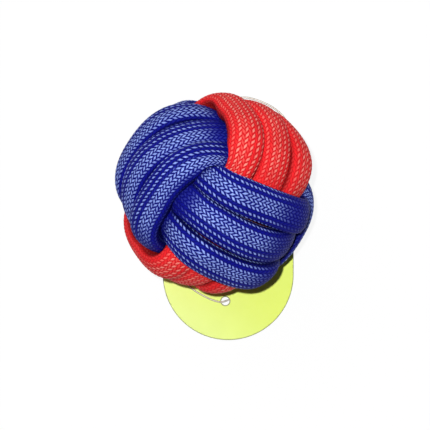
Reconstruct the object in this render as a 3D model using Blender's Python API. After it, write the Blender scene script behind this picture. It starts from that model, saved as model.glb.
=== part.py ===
# A rope ball: three bands of braided rope, three turns each, woven over and under each other
# round a wooden core. Two bands are blue and one is red. A thin nylon loop goes under one strand
# and carries a bare card tag.
#
# The units are metres and +Z is up. The ball's box is centred over the origin, and the ball stands
# on the flat under its lowest strand. The tag lies in front of it, towards -Y.

import math

import bmesh
import bpy
import numpy as np
from mathutils import Euler, Vector
from mathutils.bvhtree import BVHTree

# The core and the rope as it is squeezed in the knot
CORE_DIAMETER = 0.041
ROPE_WIDTH = 0.0136
ROPE_THICKNESS = 0.0086
STRAND_GAP = 0.00065
CORE_GAP = 0.0003
TURNS = 3

# How the ball lies, as degrees about X, Y and Z, and how far each band leans in the weave
BALL_TILT = (68.5, -35.5, 159.5)
BAND_LEAN = {"blue_rope_upper": 8.0, "blue_rope_lower": 1.0, "red_rope": 2.0}

# Where the hands that drew the knot tight pulled it out of true: a place on the ball, seen from
# its centre, how far the strands there were moved, and how far round it a pull still shows
HAND_PULLS = [
    ((0.003, 0.011, 0.037), (-0.00075, 0.00075, 0.0005)),
    ((0.033, -0.003, 0.020), (0.00275, -0.001, -0.00025)),
    ((-0.020, -0.022, 0.025), (-0.00075, -0.0025, 0.0005)),
    ((0.020, 0.021, 0.026), (0.00275, 0.00025, 0.00075)),
    ((-0.020, 0.026, 0.021), (-0.00175, 0.0005, 0.00075)),
    ((0.010, -0.035, 0.012), (0.00075, -0.002, 0.00075)),
    ((-0.020, 0.003, 0.033), (-0.00125, 0.00075, -0.00075)),
    ((-0.005, 0.034, 0.017), (0.00475, 0.0005, -0.0005)),
    ((0.030, 0.024, 0.003), (-0.00075, 0.00175, 0.0)),
    ((0.036, -0.013, 0.003), (-0.0005, 0.00125, -0.0025)),
    ((-0.036, -0.009, 0.009), (0.0, -0.0035, 0.0)),
    ((0.026, -0.028, 0.005), (0.0025, 0.0, 0.00075)),
]
PULL_REACH = 0.015

# How the strands run
UNDER_CROWDING = 0.0026     # how much closer the side strands lie where they are covered
SIDE_SQUARENESS = 0.2       # how long a side strand stays high before it dives
SIDE_BULGE = 0.0013         # how far a side strand swings out at the corners of the weave
TUCK_ANGLE = 15.0           # how far past the middle of a covered stretch an end is tucked
SHIFT_ANGLE = 100.0         # how long a turn takes to move over to the next place

# How finely the rope is made
STATIONS_PER_TURN = 36
FACET_GAP = 0.0007         # extra room that flat facets need where strands cross
CHECKED_PER_TURN = 120
SECTION_SIDES = 8
SECTION_SQUARENESS = 2.6

# The card tag. It turns about its hole, and rests on the loop where that runs under it
TAG_WIDTH = 0.051
TAG_LENGTH = 0.040
TAG_THICKNESS = 0.0005
TAG_CORNER = 0.003
TAG_HOLE_DIAMETER = 0.0032
TAG_HOLE_INSET = 0.0152     # from the middle of the hole to the tip of the round end
TAG_HOLE_SHIFT = 0.0011     # the hole is punched this far left of the middle
TAG_CLEARANCE = 0.00025

# The nylon loop. It leaves the ball from under a red strand, runs over the tag, through its hole
# and under it, then round the foot of the ball and back up behind the same strand
CORD_DIAMETER = 0.0007
CORD_SPACING = 0.0031
ON_FLOOR = CORD_DIAMETER / 2 + 0.00001
TAG_HEIGHT = CORD_DIAMETER + TAG_CLEARANCE
ON_TAG = TAG_HEIGHT + TAG_THICKNESS + CORD_DIAMETER / 2 + TAG_CLEARANCE
THROUGH_HOLE = (0.0043, -0.0422, TAG_HEIGHT + TAG_THICKNESS / 2)
LOOP_ROUTE = [
    (-0.0158, -0.0146, 0.0092),
    (-0.0161, -0.0170, 0.0066),
    (-0.0166, -0.0205, 0.0037),
    (-0.0165, -0.0245, 0.0022),
    (-0.0148, -0.0296, ON_TAG),
    (-0.0118, -0.0345, ON_TAG),
    (-0.0074, -0.0383, ON_TAG),
    (-0.0026, -0.0410, ON_TAG),
    (0.0004, -0.0422, ON_TAG),
    (0.0020, -0.0426, ON_TAG),
    (0.0029, -0.0426, 0.00195),
    (0.0037, -0.0424, 0.0016),
    THROUGH_HOLE,
    (0.0049, -0.0420, 0.0008),
    (0.0057, -0.0417, 0.00045),
    (0.0068, -0.0414, ON_FLOOR),
    (0.0115, -0.0398, ON_FLOOR),
    (0.0180, -0.0361, ON_FLOOR),
    (0.0235, -0.0305, ON_FLOOR),
    (0.0270, -0.0235, ON_FLOOR),
    (0.0291, -0.0160, ON_FLOOR),
    (0.0303, -0.0080, ON_FLOOR),
    (0.0309, 0.0000, ON_FLOOR),
    (0.0310, 0.0080, ON_FLOOR),
    (0.0306, 0.0160, ON_FLOOR),
    (0.0296, 0.0230, ON_FLOOR),
    (0.0277, 0.0286, ON_FLOOR),
    (0.0240, 0.0325, ON_FLOOR),
    (0.0182, 0.0356, ON_FLOOR),
    (0.0121, 0.0372, ON_FLOOR),
    (0.0060, 0.0363, ON_FLOOR),
    (-0.0005, 0.0336, ON_FLOOR),
    (-0.0068, 0.0295, ON_FLOOR),
    (-0.0132, 0.0243, ON_FLOOR),
    (-0.0190, 0.0180, ON_FLOOR),
    (-0.0236, 0.0112, 0.0006),
    (-0.0267, 0.0045, 0.0022),
    (-0.0279, -0.0008, 0.0056),
    (-0.0274, -0.0053, 0.0098),
    (-0.0263, -0.0082, 0.0163),
]

# What follows from these sizes
PITCH = ROPE_WIDTH + STRAND_GAP
UNDER_PITCH = PITCH - UNDER_CROWDING
UNDER_RADIUS = CORE_DIAMETER / 2 + CORE_GAP + ROPE_THICKNESS / 2
OVER_RADIUS = UNDER_RADIUS + ROPE_THICKNESS + STRAND_GAP
BALL_RADIUS = OVER_RADIUS + ROPE_THICKNESS / 2
REST_CUT = ROPE_WIDTH / 10
OUTER_PLACE = (TURNS - 1) / 2
START_ANGLE = 90 + TUCK_ANGLE
END_ANGLE = 360 * TURNS + 90 - TUCK_ANGLE


def clear_scene():
    for item in list(bpy.data.objects):
        bpy.data.objects.remove(item, do_unlink=True)


def make_material(name, colour, roughness, metallic=0.0):
    material = bpy.data.materials.new(name)
    material.use_nodes = True
    shader = material.node_tree.nodes["Principled BSDF"]
    shader.inputs["Base Color"].default_value = (*colour, 1.0)
    shader.inputs["Roughness"].default_value = roughness
    shader.inputs["Metallic"].default_value = metallic
    return material


def place_object(name, data, material):
    item = bpy.data.objects.new(name, data)
    data.materials.append(material)
    bpy.context.scene.collection.objects.link(item)
    return item


def ball_axes():
    """The three square axes of the weave, as the ball lies."""
    turn = Euler([math.radians(angle) for angle in BALL_TILT]).to_matrix()
    return [np.array(turn.col[k]) for k in range(3)]


def band_axes():
    """For each rope: the axis along its shown side, the one it dives under, and the sideways one.
    It starts and ends where it dives at the underside."""
    axis_a, axis_b, axis_c = ball_axes()
    square = {
        "blue_rope_upper": (axis_a, axis_c, axis_b),
        "blue_rope_lower": (axis_b, axis_a, axis_c),
        "red_rope": (axis_c, axis_b, axis_a),
    }
    leaning = {}
    for name, (along, across, sideways) in square.items():
        lean = math.radians(BAND_LEAN[name])
        leaning[name] = (along, -across * math.cos(lean) - sideways * math.sin(lean),
                         sideways * math.cos(lean) - across * math.sin(lean))
    return leaning


def smooth_step(x):
    x = min(max(x, 0.0), 1.0)
    return x * x * (3 - 2 * x)


def place_in_band(angle):
    """Which place of the band the rope is in: -1, 0 and 1 for three turns."""
    place = -OUTER_PLACE
    for turn in range(1, TURNS):
        place += smooth_step((angle - 90 - 360 * turn) / SHIFT_ANGLE + 0.5)
    return place


def strand_point(angle, axes):
    """A point of the rope's middle line. The band shows at 0 and 180 degrees along the first
    axis, and dives under the next band at 90 and 270 degrees along the second."""
    along, across, sideways = axes
    place = place_in_band(angle)
    turn = math.radians(angle)
    over = math.sqrt(OVER_RADIUS ** 2 - (place * PITCH) ** 2)
    under = math.sqrt(UNDER_RADIUS ** 2 - (place * UNDER_PITCH) ** 2)
    square = SIDE_SQUARENESS * place * place
    wave = (1 + square) * math.cos(2 * turn) - square * math.cos(6 * turn)
    bulge = SIDE_BULGE * place * place * (1 - math.cos(4 * turn)) / 2
    radius = (over + under) / 2 + (over - under) / 2 * wave + bulge
    offset = place * (UNDER_PITCH + (PITCH - UNDER_PITCH) * math.cos(turn) ** 4)
    return radius * (math.cos(turn) * along + math.sin(turn) * across) + offset * sideways


def hand_drawn(points):
    """The points as the hands left them. A pull slides strands round the ball, and lifts or
    flattens only what lies on top."""
    heights = np.linalg.norm(points, axis=1, keepdims=True)
    directions = points / heights
    on_top = np.clip((heights - UNDER_RADIUS) / (OVER_RADIUS - UNDER_RADIUS), 0, 1)
    new_heights = heights.copy()
    new_directions = directions.copy()
    for place, pull in HAND_PULLS:
        middle = np.array(place) / np.linalg.norm(place)
        outward = np.dot(pull, middle)
        away = np.linalg.norm(directions - middle, axis=1, keepdims=True) * BALL_RADIUS
        share = np.exp(-(away / PULL_REACH) ** 2 / 2)
        new_directions += share * (pull - outward * middle) / BALL_RADIUS
        new_heights += share * outward * on_top
    return new_heights * new_directions / np.linalg.norm(new_directions, axis=1, keepdims=True)


def middle_line(axes, per_turn):
    """The rope's middle line: its angles and its points, with straight ends one thickness long."""
    count = round((END_ANGLE - START_ANGLE) / 360 * per_turn) + 1
    angles = np.linspace(START_ANGLE, END_ANGLE, count)
    points = np.array([strand_point(angle, axes) for angle in angles])
    straight = math.degrees(ROPE_THICKNESS / UNDER_RADIUS)
    for bend, side in ((START_ANGLE + straight, -1), (END_ANGLE - straight, 1)):
        base = strand_point(bend, axes)
        ahead = strand_point(bend + side, axes) - base
        ahead *= UNDER_RADIUS * math.radians(1) / np.linalg.norm(ahead)
        for k, angle in enumerate(angles):
            past = (angle - bend) * side
            if past > 0:
                points[k] = base + ahead * past
    return angles, hand_drawn(points)


def section_outline():
    """The rope's cross-section, a flattened round: across the strand, then outwards."""
    outline = []
    for k in range(SECTION_SIDES):
        angle = 2 * math.pi * k / SECTION_SIDES
        power = 2 / SECTION_SQUARENESS
        across = math.copysign(abs(math.cos(angle)) ** power, math.cos(angle)) * ROPE_WIDTH / 2
        outward = math.copysign(abs(math.sin(angle)) ** power, math.sin(angle)) * ROPE_THICKNESS / 2
        outline.append((across, outward))
    return outline


def nearest(tips, line):
    return np.linalg.norm(tips[:, None] - line[None], axis=2).min(axis=1)


def reach_within_gap(centre, rays, reaches, crossing, own_turns):
    """How far each ray may go before it is nearer to another strand than to its own."""
    low = np.zeros(len(rays))
    high = reaches.copy()
    test = high.copy()
    for _ in range(12):
        tips = centre + rays * test[:, None]
        away = np.minimum(nearest(tips, crossing) - FACET_GAP, nearest(tips, own_turns))
        clear = away - test >= STRAND_GAP
        low = np.where(clear, test, low)
        high = np.where(clear, high, test)
        test = (low + high) / 2
    return low


def rope_rings(band, lines, axes):
    """The cross-sections of one rope, each squeezed to the room that its neighbours leave."""
    angles, points = middle_line(axes, STATIONS_PER_TURN)
    outline = section_outline()
    reaches = np.array([math.hypot(*spot) for spot in outline])
    crossing = np.concatenate([line for name, (_, line) in lines.items() if name != band])
    own_angles, own_line = lines[band]
    rings = []
    for k, centre in enumerate(points):
        ahead = points[min(k + 1, len(points) - 1)] - points[max(k - 1, 0)]
        ahead /= np.linalg.norm(ahead)
        outward = centre - ahead * centre.dot(ahead)
        outward /= np.linalg.norm(outward)
        across = np.cross(ahead, outward)
        rays = np.array([(x * across + y * outward) / reach
                         for (x, y), reach in zip(outline, reaches)])
        own_turns = own_line[np.abs(own_angles - angles[k]) > 150]
        reach = reach_within_gap(centre, rays, reaches, crossing, own_turns)
        rings.append(centre + rays * reach[:, None])
    return angles, rings


def tube_mesh(name, rings, centre):
    """One closed tube through the rings round the ball's centre, cut flat where it rests."""
    bm = bmesh.new()
    loops = [[bm.verts.new(Vector(spot) + centre) for spot in ring] for ring in rings]
    for first, second in zip(loops, loops[1:]):
        for k in range(SECTION_SIDES):
            n = (k + 1) % SECTION_SIDES
            bm.faces.new((first[k], first[n], second[n], second[k]))
    bm.faces.new(loops[0])
    bm.faces.new(list(reversed(loops[-1])))
    bmesh.ops.triangulate(bm, faces=[face for face in bm.faces if len(face.verts) == 4])
    bmesh.ops.recalc_face_normals(bm, faces=bm.faces)
    cut = bmesh.ops.bisect_plane(bm, geom=bm.verts[:] + bm.edges[:] + bm.faces[:], dist=1e-7,
                                 plane_co=(0, 0, 0), plane_no=(0, 0, -1), clear_outer=True)
    open_edges = [edge for edge in cut["geom_cut"] if isinstance(edge, bmesh.types.BMEdge)]
    if open_edges:
        bmesh.ops.holes_fill(bm, edges=open_edges, sides=0)
    mesh = bpy.data.meshes.new(name)
    bm.to_mesh(mesh)
    bm.free()
    return mesh


def surface_points(rings, k):
    """Points on the faces between ring k and the next one."""
    points = []
    for along in (0.0, 0.25, 0.5, 0.75):
        ring = rings[k] * (1 - along) + rings[k + 1] * along
        points.extend(ring)
        points.extend((ring + np.roll(ring, 1, axis=0)) / 2)
    return points


def rings_tree(rings, spans):
    """A search tree of the tube's faces between each ring in spans and the next."""
    spots = []
    faces = []
    for k in spans:
        base = len(spots)
        spots.extend(rings[k])
        spots.extend(rings[k + 1])
        for n in range(SECTION_SIDES):
            m = (n + 1) % SECTION_SIDES
            faces.append((base + n, base + m, base + SECTION_SIDES + m))
            faces.append((base + n, base + SECTION_SIDES + m, base + SECTION_SIDES + n))
    return BVHTree.FromPolygons(spots, faces)


def least_gap(first, second, apart=0):
    """The least gap from points on one tube to another's faces, or to its own other turns."""
    least = 1.0
    block = 3
    for start in range(0, len(first) - 1, block):
        spans = [k for k in range(len(second) - 1)
                 if not apart or abs(k - start) > apart]
        tree = rings_tree(second, spans)
        for k in range(start, min(start + block, len(first) - 1)):
            for spot in surface_points(first, k):
                least = min(least, tree.find_nearest(spot)[3])
    return least


def make_core(centre, material):
    bm = bmesh.new()
    bmesh.ops.create_icosphere(bm, subdivisions=3, radius=CORE_DIAMETER / 2)
    mesh = bpy.data.meshes.new("core_ball")
    bm.to_mesh(mesh)
    bm.free()
    mesh.shade_smooth()
    core = place_object("core_ball", mesh, material)
    core.location = centre
    return core


def smooth_route(points, spacing):
    """Points along one smooth curve through the route's own points."""
    route = [Vector(point) for point in points]
    route = [2 * route[0] - route[1]] + route + [2 * route[-1] - route[-2]]
    smooth = []
    for before, start, end, after in zip(route, route[1:], route[2:], route[3:]):
        steps = max(1, round((end - start).length / spacing))
        reach = (end - start).length
        leave = (end - before) * reach / ((start - before).length + reach)
        arrive = (after - start) * reach / (reach + (after - end).length)
        for k in range(steps):
            t = k / steps
            smooth.append((2 * t ** 3 - 3 * t ** 2 + 1) * start + (t ** 3 - 2 * t ** 2 + t) * leave
                          + (3 * t ** 2 - 2 * t ** 3) * end + (t ** 3 - t ** 2) * arrive)
    smooth.append(route[-2])
    return smooth


def make_loop(material):
    points = smooth_route(LOOP_ROUTE, CORD_SPACING)
    curve = bpy.data.curves.new("tag_loop", "CURVE")
    curve.dimensions = "3D"
    curve.bevel_depth = CORD_DIAMETER / 2
    curve.bevel_resolution = 2
    curve.use_fill_caps = True
    spline = curve.splines.new("POLY")
    spline.points.add(len(points) - 1)
    for spot, point in zip(spline.points, points):
        spot.co = (*point, 1.0)
    length = sum((second - first).length for first, second in zip(points, points[1:]))
    print(f"tag_loop: {len(points)} points, {length * 1000:.1f} mm outside the ball")
    return place_object("tag_loop", curve, material)


def arc_points(centre, radius, start, end, count):
    angles = [math.radians(start + (end - start) * k / count) for k in range(count + 1)]
    return [(centre[0] + radius * math.cos(angle), centre[1] + radius * math.sin(angle))
            for angle in angles]


def tag_outline():
    """The card's edge round its hole at (0, 0): square at the ball's end, round at the other."""
    half = TAG_WIDTH / 2
    middle = TAG_HOLE_SHIFT
    tip = -TAG_HOLE_INSET
    top = tip + TAG_LENGTH
    inner = half - TAG_CORNER
    outline = arc_points((middle, tip + half), half, 180, 360, 32)
    outline += arc_points((middle + inner, top - TAG_CORNER), TAG_CORNER, 0, 90, 5)
    outline += arc_points((middle - inner, top - TAG_CORNER), TAG_CORNER, 90, 180, 5)
    return outline


def make_tag(material):
    """The tag's origin is at its hole, which it turns about."""
    bm = bmesh.new()
    face = bm.faces.new([bm.verts.new((x, y, 0)) for x, y in tag_outline()])
    solid = bmesh.ops.extrude_face_region(bm, geom=[face])
    top = [item for item in solid["geom"] if isinstance(item, bmesh.types.BMVert)]
    bmesh.ops.translate(bm, verts=top, vec=(0, 0, TAG_THICKNESS))
    bmesh.ops.recalc_face_normals(bm, faces=bm.faces)
    mesh = bpy.data.meshes.new("hang_tag")
    bm.to_mesh(mesh)
    bm.free()
    tag = place_object("hang_tag", mesh, material)
    tag.location = (THROUGH_HOLE[0], THROUGH_HOLE[1], TAG_HEIGHT)

    bm = bmesh.new()
    bmesh.ops.create_cone(bm, cap_ends=True, segments=24, radius1=TAG_HOLE_DIAMETER / 2,
                          radius2=TAG_HOLE_DIAMETER / 2, depth=6 * TAG_THICKNESS)
    punch_mesh = bpy.data.meshes.new("hole_punch")
    bm.to_mesh(punch_mesh)
    bm.free()
    punch = bpy.data.objects.new("hole_punch", punch_mesh)
    bpy.context.scene.collection.objects.link(punch)
    punch.parent = tag
    punch.hide_render = True
    punch.display_type = "WIRE"
    hole = tag.modifiers.new("hole", "BOOLEAN")
    hole.object = punch
    hole.operation = "DIFFERENCE"
    hole.solver = "EXACT"
    return tag


def build_ball():
    bands = band_axes()
    lines = {name: middle_line(axes, CHECKED_PER_TURN) for name, axes in bands.items()}
    rings = {name: rope_rings(name, lines, axes)[1] for name, axes in bands.items()}
    corners = np.concatenate([ring for tube in rings.values() for ring in tube])
    low, high = corners.min(axis=0), corners.max(axis=0)
    centre = Vector((-(low[0] + high[0]) / 2, -(low[1] + high[1]) / 2, -low[2] - REST_CUT))

    blue = make_material("blue rope", (0.012, 0.014, 0.26), 0.85)
    red = make_material("red rope", (0.78, 0.035, 0.03), 0.85)
    wood = make_material("wood", (0.55, 0.38, 0.22), 0.7)
    for name, tube in rings.items():
        mesh = tube_mesh(name, tube, centre)
        place_object(name, mesh, red if name == "red_rope" else blue)
    make_core(centre, wood)

    half_turn = STATIONS_PER_TURN // 2
    names = list(rings)
    for k, name in enumerate(names):
        own = least_gap(rings[name], rings[name], apart=half_turn)
        print(f"{name}: least gap to itself {own * 1000:.2f} mm")
        other = names[(k + 1) % len(names)]
        across = least_gap(rings[name], rings[other])
        print(f"{name} to {other}: least gap {across * 1000:.2f} mm")
    print("ball centre, mm:", [round(value * 1000, 2) for value in centre])


def main():
    clear_scene()
    build_ball()
    make_loop(make_material("nylon", (0.72, 0.71, 0.66), 0.3))
    make_tag(make_material("lime card", (0.78, 0.88, 0.2), 0.55))


main()
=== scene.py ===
# %% [markdown]
# A rope ball, built up in Blender
#
# The object is a knot ball: three lengths of braided cord wound over and under each other round a
# wooden core. Two are blue and one is red. A clear nylon loop runs under one strand and carries a
# plain lime card tag. We dress a finished CAD model, so every piece has to lie where its plain
# solid lies. We load that model first and note its size.

# %% Load the plain model and measure it
import math

import bpy
import numpy as np
from mathutils import Euler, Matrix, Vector


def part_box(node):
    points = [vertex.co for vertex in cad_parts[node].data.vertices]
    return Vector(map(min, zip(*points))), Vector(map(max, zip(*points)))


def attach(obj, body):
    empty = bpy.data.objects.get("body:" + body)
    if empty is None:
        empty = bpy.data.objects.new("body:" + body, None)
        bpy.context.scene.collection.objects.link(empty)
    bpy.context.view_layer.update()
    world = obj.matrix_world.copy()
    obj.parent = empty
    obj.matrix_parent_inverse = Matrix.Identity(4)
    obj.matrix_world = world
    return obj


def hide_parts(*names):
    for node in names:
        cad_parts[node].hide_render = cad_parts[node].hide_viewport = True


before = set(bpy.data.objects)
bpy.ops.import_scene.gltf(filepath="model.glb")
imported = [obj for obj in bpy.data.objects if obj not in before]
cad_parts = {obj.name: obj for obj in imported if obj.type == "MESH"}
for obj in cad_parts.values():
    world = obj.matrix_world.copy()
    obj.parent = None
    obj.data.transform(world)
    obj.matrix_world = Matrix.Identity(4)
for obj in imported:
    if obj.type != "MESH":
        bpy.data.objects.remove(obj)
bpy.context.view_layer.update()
core_low, core_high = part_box("core_ball")
ball_centre = np.array((core_low + core_high) / 2)
print("ball centre, mm:", (ball_centre * 1000).round(2))

# %% [markdown]
# The camera
#
# The photograph looks straight down on the ball. We could use a long lens, but a flat view with no
# perspective is simpler to measure from: one pixel is 0.39 mm everywhere, so a point in the
# picture gives a place on the floor directly. Everything that we make needs an object in the
# scene to show it, so we write that helper here, where it is first used.

# %% A camera that looks straight down
PHOTO_PIXELS = 430
PIXEL = 0.00039
VIEW_CENTRE = (0.00026, -0.00864)
CAMERA_HEIGHT = 0.9


def new_object(name, data):
    """Makes an object that shows the data, and puts it in the scene."""
    item = bpy.data.objects.new(name, data)
    bpy.context.scene.collection.objects.link(item)
    return item


camera_data = bpy.data.cameras.new("overhead_camera")
camera_data.type = "ORTHO"
camera_data.ortho_scale = PHOTO_PIXELS * PIXEL
camera = new_object("overhead_camera", camera_data)
camera.location = (*VIEW_CENTRE, CAMERA_HEIGHT)
bpy.context.scene.camera = camera
print("the view is", round(camera_data.ortho_scale * 1000, 1), "mm wide")

# %% [markdown]
# The nylon loop's route
#
# The loop is a thin clear line, like fishing line. It comes out between two red strands, runs over
# the tag, down through the tag's hole and back under it, and then lies on the floor round the foot
# of the ball until it slips back behind the same strand. A curve is the natural tool: we give it
# the points that the line passes, and smooth between them so that it never has a sharp corner.

# %% Lay the nylon loop along its route
CORD_DIAMETER = 0.0007
CORD_SPACING = 0.0011
CORD_ROUNDNESS = 4
FLOOR_CLEARANCE = 0.00001
ON_FLOOR = CORD_DIAMETER / 2 + FLOOR_CLEARANCE
TAG_THICKNESS = 0.0005
TAG_CLEARANCE = 0.00025
TAG_HEIGHT = CORD_DIAMETER + TAG_CLEARANCE
ON_TAG = TAG_HEIGHT + TAG_THICKNESS + CORD_DIAMETER / 2 + TAG_CLEARANCE
THROUGH_HOLE = (0.0043, -0.0422, TAG_HEIGHT + TAG_THICKNESS / 2)
LOOP_ROUTE = [
    (-0.0158, -0.0146, 0.0092), (-0.0161, -0.0170, 0.0066), (-0.0166, -0.0205, 0.0037),
    (-0.0165, -0.0245, 0.0022), (-0.0148, -0.0296, ON_TAG), (-0.0118, -0.0345, ON_TAG),
    (-0.0074, -0.0383, ON_TAG), (-0.0026, -0.0410, ON_TAG), (0.0004, -0.0422, ON_TAG),
    (0.0020, -0.0426, ON_TAG), (0.0029, -0.0426, 0.00195), (0.0037, -0.0424, 0.0016),
    THROUGH_HOLE,
    (0.0049, -0.0420, 0.0008), (0.0057, -0.0417, 0.00045), (0.0068, -0.0414, ON_FLOOR),
    (0.0115, -0.0398, ON_FLOOR), (0.0180, -0.0361, ON_FLOOR), (0.0235, -0.0305, ON_FLOOR),
    (0.0270, -0.0235, ON_FLOOR), (0.0291, -0.0160, ON_FLOOR), (0.0303, -0.0080, ON_FLOOR),
    (0.0309, 0.0000, ON_FLOOR), (0.0310, 0.0080, ON_FLOOR), (0.0306, 0.0160, ON_FLOOR),
    (0.0296, 0.0230, ON_FLOOR), (0.0277, 0.0286, ON_FLOOR), (0.0240, 0.0325, ON_FLOOR),
    (0.0182, 0.0356, ON_FLOOR), (0.0121, 0.0372, ON_FLOOR), (0.0060, 0.0363, ON_FLOOR),
    (-0.0005, 0.0336, ON_FLOOR), (-0.0068, 0.0295, ON_FLOOR), (-0.0132, 0.0243, ON_FLOOR),
    (-0.0190, 0.0180, ON_FLOOR), (-0.0236, 0.0112, 0.0006), (-0.0267, 0.0045, 0.0022),
    (-0.0279, -0.0008, 0.0056), (-0.0274, -0.0053, 0.0098), (-0.0263, -0.0082, 0.0163),
]


def smooth_route(points, spacing):
    """Points along one smooth curve through the route's own points."""
    route = [Vector(point) for point in points]
    route = [2 * route[0] - route[1]] + route + [2 * route[-1] - route[-2]]
    smooth = []
    for before, start, end, after in zip(route, route[1:], route[2:], route[3:]):
        reach = (end - start).length
        leave = (end - before) * reach / ((start - before).length + reach)
        arrive = (after - start) * reach / (reach + (after - end).length)
        steps = max(1, round(reach / spacing))
        for k in range(steps):
            t = k / steps
            smooth.append((2 * t ** 3 - 3 * t ** 2 + 1) * start
                          + (t ** 3 - 2 * t ** 2 + t) * leave
                          + (3 * t ** 2 - 2 * t ** 3) * end + (t ** 3 - t ** 2) * arrive)
    smooth.append(route[-2])
    return smooth


line_points = smooth_route(LOOP_ROUTE, CORD_SPACING)
loop_curve = bpy.data.curves.new("nylon_loop", "CURVE")
loop_curve.dimensions = "3D"
loop_curve.bevel_depth = CORD_DIAMETER / 2
loop_curve.bevel_resolution = CORD_ROUNDNESS
loop_curve.use_fill_caps = True
spline = loop_curve.splines.new("POLY")
spline.points.add(len(line_points) - 1)
for spot, point in zip(spline.points, line_points):
    spot.co = (*point, 1.0)
nylon_loop = new_object("nylon_loop", loop_curve)
loop_length = sum((b - a).length for a, b in zip(line_points, line_points[1:]))
print(f"nylon loop: {len(line_points)} points, {loop_length * 1000:.1f} mm outside the ball")

# %% [markdown]
# The bands of the knot
#
# A monkey's fist has three bands at right angles, each of three turns. We could draw nine rings,
# but each band is one unbroken length. So each rope gets three directions: the one that its shown
# side faces, the one where it dives, and sideways, from one turn to the next. The whole ball is
# tilted as it lies in the photograph, and each band leans a little by itself.

# %% Set the ball's measures and the bands' directions
CORE_DIAMETER = 0.041
ROPE_WIDTH = 0.0136
ROPE_THICKNESS = 0.0086
STRAND_GAP = 0.00065
CORE_GAP = 0.0003
PITCH = ROPE_WIDTH + STRAND_GAP
UNDER_RADIUS = CORE_DIAMETER / 2 + CORE_GAP + ROPE_THICKNESS / 2
OVER_RADIUS = UNDER_RADIUS + ROPE_THICKNESS + STRAND_GAP
BALL_RADIUS = OVER_RADIUS + ROPE_THICKNESS / 2
BALL_TILT = (68.5, -35.5, 159.5)
BAND_LEAN = {"blue_rope_upper": 8.0, "blue_rope_lower": 1.0, "red_rope": 2.0}


def band_axes():
    """For each rope: the axis along its shown side, the one it dives under, and sideways."""
    turn = Euler([math.radians(angle) for angle in BALL_TILT]).to_matrix()
    axis_a, axis_b, axis_c = [np.array(turn.col[k]) for k in range(3)]
    square = {
        "blue_rope_upper": (axis_a, axis_c, axis_b),
        "blue_rope_lower": (axis_b, axis_a, axis_c),
        "red_rope": (axis_c, axis_b, axis_a),
    }
    leaning = {}
    for name, (along, across, sideways) in square.items():
        lean = math.radians(BAND_LEAN[name])
        leaning[name] = (along, -across * math.cos(lean) - sideways * math.sin(lean),
                         sideways * math.cos(lean) - across * math.sin(lean))
    return leaning


bands = band_axes()
print(f"woven ball: {BALL_RADIUS * 2000:.1f} mm across, its strands {PITCH * 1000:.2f} mm apart")

# %% [markdown]
# The weave
#
# A strand runs over one neighbour and under the next, twice in every turn. Rather than draw that by
# hand, we write the middle line of a rope as a formula: its distance from the ball's centre rises
# and falls twice a turn, and it moves over by one place at the end of each turn, where the crossing
# band hides the change. The same formula made the plain solids, so the dressed ropes fall exactly
# on them.

# %% Write a strand's line as a formula
TURNS = 3
OUTER_PLACE = (TURNS - 1) / 2
SHIFT_ANGLE = 100.0
UNDER_CROWDING = 0.0026
UNDER_PITCH = PITCH - UNDER_CROWDING
SIDE_SQUARENESS = 0.2
SIDE_BULGE = 0.0013
TOP_AND_DIVE = np.array([720.0, 630.0])


def eased(value, start, end):
    """0 at start, 1 at end, and an eased curve between."""
    share = np.clip((value - start) / (end - start), 0, 1)
    return share * share * (3 - 2 * share)


def strand_points(angles, axes):
    """Points of a rope's middle line, seen from the ball's centre."""
    along, across, sideways = axes
    turn = np.radians(angles)[:, None]
    place = np.full(turn.shape, -OUTER_PLACE)
    for count in range(1, TURNS):
        shift = 90 + 360 * count
        place += eased(angles[:, None], shift - SHIFT_ANGLE / 2, shift + SHIFT_ANGLE / 2)
    over = np.sqrt(OVER_RADIUS ** 2 - (place * PITCH) ** 2)
    under = np.sqrt(UNDER_RADIUS ** 2 - (place * UNDER_PITCH) ** 2)
    square = SIDE_SQUARENESS * place * place
    wave = (1 + square) * np.cos(2 * turn) - square * np.cos(6 * turn)
    bulge = SIDE_BULGE * place * place * (1 - np.cos(4 * turn)) / 2
    radius = (over + under) / 2 + (over - under) / 2 * wave + bulge
    offset = place * (UNDER_PITCH + (PITCH - UNDER_PITCH) * np.cos(turn) ** 4)
    return radius * (np.cos(turn) * along + np.sin(turn) * across) + offset * sideways


rise, dive = np.linalg.norm(strand_points(TOP_AND_DIVE, bands["red_rope"]), axis=1) * 1000
print(f"the middle turn rises to {rise:.1f} mm from the ball's centre and dives to {dive:.1f} mm")

# %% [markdown]
# What the hands did
#
# The hands that tighten a knot pull its strands a little out of line. We could trace each strand
# from the photograph, but that shows only one side of the ball. A short list of soft pulls bends
# the formula's lines instead. Each gives a place on the ball and how far the rope is moved there.
# The plain solids have the same pulls.

# %% Pull the strands into place and measure them
HAND_PULLS = [
    ((0.003, 0.011, 0.037), (-0.00075, 0.00075, 0.0005)),
    ((0.033, -0.003, 0.020), (0.00275, -0.001, -0.00025)),
    ((-0.020, -0.022, 0.025), (-0.00075, -0.0025, 0.0005)),
    ((0.020, 0.021, 0.026), (0.00275, 0.00025, 0.00075)),
    ((-0.020, 0.026, 0.021), (-0.00175, 0.0005, 0.00075)),
    ((0.010, -0.035, 0.012), (0.00075, -0.002, 0.00075)),
    ((-0.020, 0.003, 0.033), (-0.00125, 0.00075, -0.00075)),
    ((-0.005, 0.034, 0.017), (0.00475, 0.0005, -0.0005)),
    ((0.030, 0.024, 0.003), (-0.00075, 0.00175, 0.0)),
    ((0.036, -0.013, 0.003), (-0.0005, 0.00125, -0.0025)),
    ((-0.036, -0.009, 0.009), (0.0, -0.0035, 0.0)),
    ((0.026, -0.028, 0.005), (0.0025, 0.0, 0.00075)),
]
PULL_REACH = 0.015
STATIONS = 1120
TUCK_ANGLE = 15.0
START_ANGLE = 90 + TUCK_ANGLE
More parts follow.
